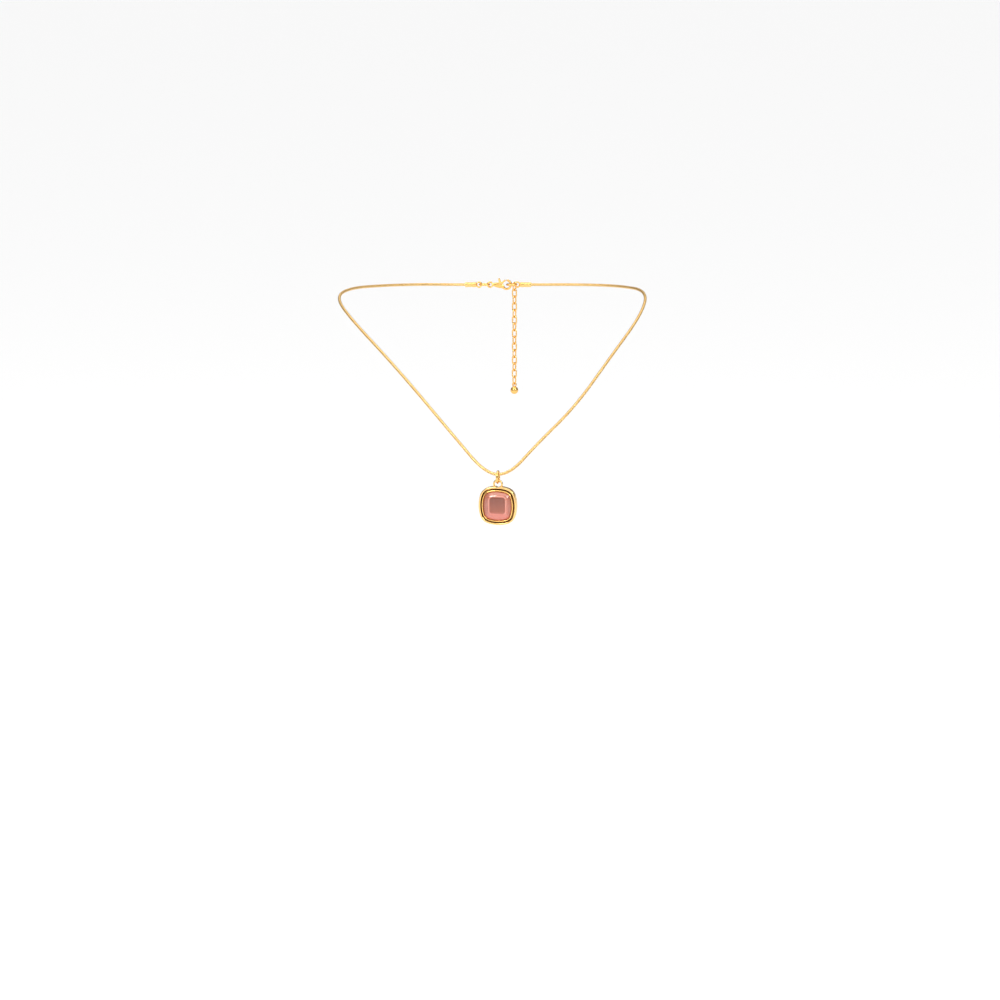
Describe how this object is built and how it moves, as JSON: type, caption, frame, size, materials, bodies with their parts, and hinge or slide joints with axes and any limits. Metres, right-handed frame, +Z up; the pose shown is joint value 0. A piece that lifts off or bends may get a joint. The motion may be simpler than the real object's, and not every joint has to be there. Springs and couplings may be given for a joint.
{
  "type": "pendant necklace",
  "caption": "Gold-plated snake chain necklace in its worn shape, with a cushion pendant holding a pink glass stone, a lobster clasp and an extender chain.",
  "frame": {"origin": "at the nape of the neck, where the closure's rings rest on the skin", "axes": "+X to the right of a viewer who faces the wearer, +Y away from that viewer, +Z up; the pendant hangs in front, at -Y"},
  "size_m": [0.1284, 0.126, 0.083],
  "materials": {
    "snake_gold": "polished gold plate on woven snake chain",
    "polished_gold": "polished gold plate",
    "cat_eye_glass": "polished cat's-eye glass",
    "setting_cement": "hardened jeweller's cement",
    "spring_steel": "bare spring steel"
  },
  "bodies": {
    "chain": {"snake_chain": "snake_gold", "left_end_cap": "polished_gold", "right_end_cap": "polished_gold"},
    "bail": {"bail_ring": "polished_gold"},
    "pendant": {"pendant_frame": "polished_gold", "bezel_cup": "polished_gold", "stone_cement": "setting_cement", "stone": "cat_eye_glass"},
    "left_ring": {"left_jump_ring": "polished_gold"},
    "clasp": {"clasp_body": "polished_gold", "clasp_rivet": "polished_gold", "clasp_spring": "spring_steel"},
    "lever": {"clasp_lever": "polished_gold"},
    "right_ring": {"right_jump_ring": "polished_gold"},
    "link_01": {"extender_link_01": "polished_gold"},
    "link_02": {"extender_link_02": "polished_gold"},
    "link_03": {"extender_link_03": "polished_gold"},
    "link_04": {"extender_link_04": "polished_gold"},
    "link_05": {"extender_link_05": "polished_gold"},
    "link_06": {"extender_link_06": "polished_gold"},
    "link_07": {"extender_link_07": "polished_gold"},
    "link_08": {"extender_link_08": "polished_gold"},
    "link_09": {"extender_link_09": "polished_gold"},
    "link_10": {"extender_link_10": "polished_gold"},
    "link_11": {"extender_link_11": "polished_gold"},
    "link_12": {"extender_link_12": "polished_gold"},
    "link_13": {"extender_link_13": "polished_gold"},
    "link_14": {"extender_link_14": "polished_gold"},
    "link_15": {"extender_link_15": "polished_gold"},
    "drop": {"end_drop": "polished_gold"}
  },
  "joints": [
    {"name": "bail_swing", "type": "hinge", "parent": "chain", "child": "bail", "pos_m": [0, -0.117, -0.06], "axis": [1, 0, 0], "range_deg": [-90, 90]},
    {"name": "pendant_sway", "type": "hinge", "parent": "bail", "child": "pendant", "pos_m": [0, -0.117, -0.06328], "axis": [0.2079, 0.9781, 0], "range_deg": [-34, 34]},
    {"name": "left_ring_play", "type": "hinge", "parent": "chain", "child": "left_ring", "pos_m": [-0.00719, 0.0025, 0], "axis": [0, 0, 1], "range_deg": [-3, 3]},
    {"name": "clasp_play", "type": "hinge", "parent": "left_ring", "child": "clasp", "pos_m": [-0.0038, 0.0025, 0], "axis": [0, 1, 0], "range_deg": [-4, 0]},
    {"name": "lever_press", "type": "hinge", "parent": "clasp", "child": "lever", "pos_m": [0.00085, 0.0025, 0.0007], "axis": [0, 1, 0], "range_deg": [0, 25], "stiffness_Nm_per_rad": 0.008, "springref_deg": -11.46},
    {"name": "right_ring_play", "type": "hinge", "parent": "chain", "child": "right_ring", "pos_m": [0.00719, 0.0025, 0], "axis": [0, 0, 1], "range_deg": [-3, 3]},
    {"name": "link_01_swing", "type": "hinge", "parent": "right_ring", "child": "link_01", "pos_m": [0.0071, 0.00422, 0], "axis": [0.8192, -0.5736, 0], "range_deg": [-6, 25]},
    {"name": "link_02_swing", "type": "hinge", "parent": "link_01", "child": "link_02", "pos_m": [0.0071, 0.00422, -0.00284], "axis": [0.5736, 0.8192, 0], "range_deg": [-25, 25]},
    {"name": "link_03_swing", "type": "hinge", "parent": "link_02", "child": "link_03", "pos_m": [0.0071, 0.00422, -0.00578], "axis": [0.8192, -0.5736, 0], "range_deg": [-25, 25]},
    {"name": "link_04_swing", "type": "hinge", "parent": "link_03", "child": "link_04", "pos_m": [0.0071, 0.00422, -0.00872], "axis": [0.5736, 0.8192, 0], "range_deg": [-25, 25]},
    {"name": "link_05_swing", "type": "hinge", "parent": "link_04", "child": "link_05", "pos_m": [0.0071, 0.00422, -0.01166], "axis": [0.8192, -0.5736, 0], "range_deg": [-25, 25]},
    {"name": "link_06_swing", "type": "hinge", "parent": "link_05", "child": "link_06", "pos_m": [0.0071, 0.00422, -0.0146], "axis": [0.5736, 0.8192, 0], "range_deg": [-25, 25]},
    {"name": "link_07_swing", "type": "hinge", "parent": "link_06", "child": "link_07", "pos_m": [0.0071, 0.00422, -0.01754], "axis": [0.8192, -0.5736, 0], "range_deg": [-25, 25]},
    {"name": "link_08_swing", "type": "hinge", "parent": "link_07", "child": "link_08", "pos_m": [0.0071, 0.00422, -0.02048], "axis": [0.5736, 0.8192, 0], "range_deg": [-25, 25]},
    {"name": "link_09_swing", "type": "hinge", "parent": "link_08", "child": "link_09", "pos_m": [0.0071, 0.00422, -0.02342], "axis": [0.8192, -0.5736, 0], "range_deg": [-25, 25]},
    {"name": "link_10_swing", "type": "hinge", "parent": "link_09", "child": "link_10", "pos_m": [0.0071, 0.00422, -0.02636], "axis": [0.5736, 0.8192, 0], "range_deg": [-25, 25]},
    {"name": "link_11_swing", "type": "hinge", "parent": "link_10", "child": "link_11", "pos_m": [0.0071, 0.00422, -0.0293], "axis": [0.8192, -0.5736, 0], "range_deg": [-25, 25]},
    {"name": "link_12_swing", "type": "hinge", "parent": "link_11", "child": "link_12", "pos_m": [0.0071, 0.00422, -0.03224], "axis": [0.5736, 0.8192, 0], "range_deg": [-25, 25]},
    {"name": "link_13_swing", "type": "hinge", "parent": "link_12", "child": "link_13", "pos_m": [0.0071, 0.00422, -0.03518], "axis": [0.8192, -0.5736, 0], "range_deg": [-25, 25]},
    {"name": "link_14_swing", "type": "hinge", "parent": "link_13", "child": "link_14", "pos_m": [0.0071, 0.00422, -0.03812], "axis": [0.5736, 0.8192, 0], "range_deg": [-25, 25]},
    {"name": "link_15_swing", "type": "hinge", "parent": "link_14", "child": "link_15", "pos_m": [0.0071, 0.00422, -0.04106], "axis": [0.8192, -0.5736, 0], "range_deg": [-25, 25]},
    {"name": "drop_swing", "type": "hinge", "parent": "link_15", "child": "drop", "pos_m": [0.0071, 0.00422, -0.044], "axis": [0.5736, 0.8192, 0], "range_deg": [-25, 25]}
  ]
}
